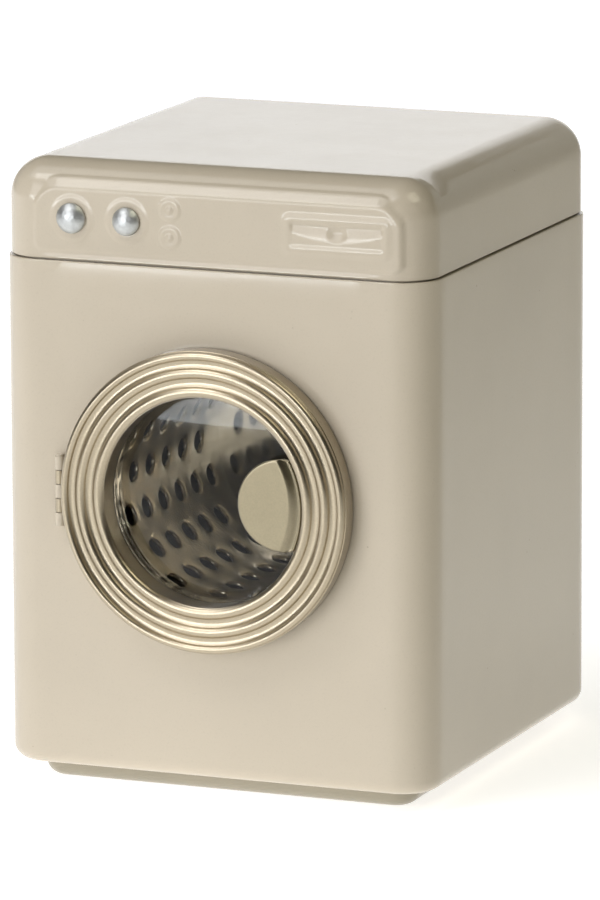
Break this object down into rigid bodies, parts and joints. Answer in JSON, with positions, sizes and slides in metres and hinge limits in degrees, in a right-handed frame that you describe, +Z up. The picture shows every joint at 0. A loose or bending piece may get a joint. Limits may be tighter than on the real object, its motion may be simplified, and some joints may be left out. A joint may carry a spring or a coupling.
{
  "type": "toy washing machine",
  "caption": "Doll's-house-scale front-loading washing machine in enamelled tinplate, with a hinged porthole door, a perforated drum and a lift-off lid.",
  "frame": {"origin": "centre of the flat underside of the base, on the surface the toy stands on", "axes": "+X to the right seen from the front, +Y to the back (the door faces -Y), +Z up"},
  "size_m": [0.087, 0.0966, 0.12],
  "materials": {
    "enamel": "glossy cream enamel on tinplate",
    "champagne": "satin champagne gold plating",
    "window": "clear moulded plastic",
    "drum_steel": "worn brushed steel",
    "polished_steel": "polished steel",
    "knob_silver": "hammered silver",
    "zinc": "bright zinc plating",
    "nylon": "natural nylon",
    "ferrite": "matt ferrite magnet"
  },
  "bodies": {
    "cabinet": {"cabinet_wrap": "enamel", "neck_band": "enamel", "base_pan": "enamel", "porthole_collar": "enamel", "drum_bracket": "zinc", "bracket_rivets": "zinc", "bearing_bush": "nylon", "hinge_leaf_cabinet": "enamel", "hinge_pin": "zinc", "door_magnet": "ferrite"},
    "lid": {"top_lid": "enamel"},
    "left_knob": {"knob_left": "knob_silver", "knob_left_nut": "zinc"},
    "right_knob": {"knob_right": "knob_silver", "knob_right_nut": "zinc"},
    "door": {"door_ring": "champagne", "door_liner": "champagne", "door_window": "window", "door_handle": "champagne", "hinge_leaf_door": "champagne"},
    "drum": {"drum_shell": "drum_steel", "drum_mouth_roll": "drum_steel", "drum_back": "polished_steel", "drum_hub": "nylon", "drum_axle": "zinc", "axle_washer": "zinc", "axle_clip": "zinc"}
  },
  "joints": [
    {"name": "door_swing", "type": "hinge", "parent": "cabinet", "child": "door", "pos_m": [-0.03015, -0.0468, 0.0579], "axis": [0, 0, -1], "range_deg": [0, 110]},
    {"name": "drum_spin", "type": "hinge", "parent": "cabinet", "child": "drum", "pos_m": [0, 0, 0.0579], "axis": [0, 1, 0], "continuous": true},
    {"name": "lid_lift", "type": "slide", "parent": "cabinet", "child": "lid", "axis": [0, 0, 1], "range_m": [0, 0.045]},
    {"name": "knob_left_turn", "type": "hinge", "parent": "lid", "child": "left_knob", "pos_m": [-0.0279, -0.0455, 0.1096], "axis": [0, 1, 0], "continuous": true},
    {"name": "knob_right_turn", "type": "hinge", "parent": "lid", "child": "right_knob", "pos_m": [-0.0167, -0.0455, 0.1096], "axis": [0, 1, 0], "continuous": true}
  ]
}
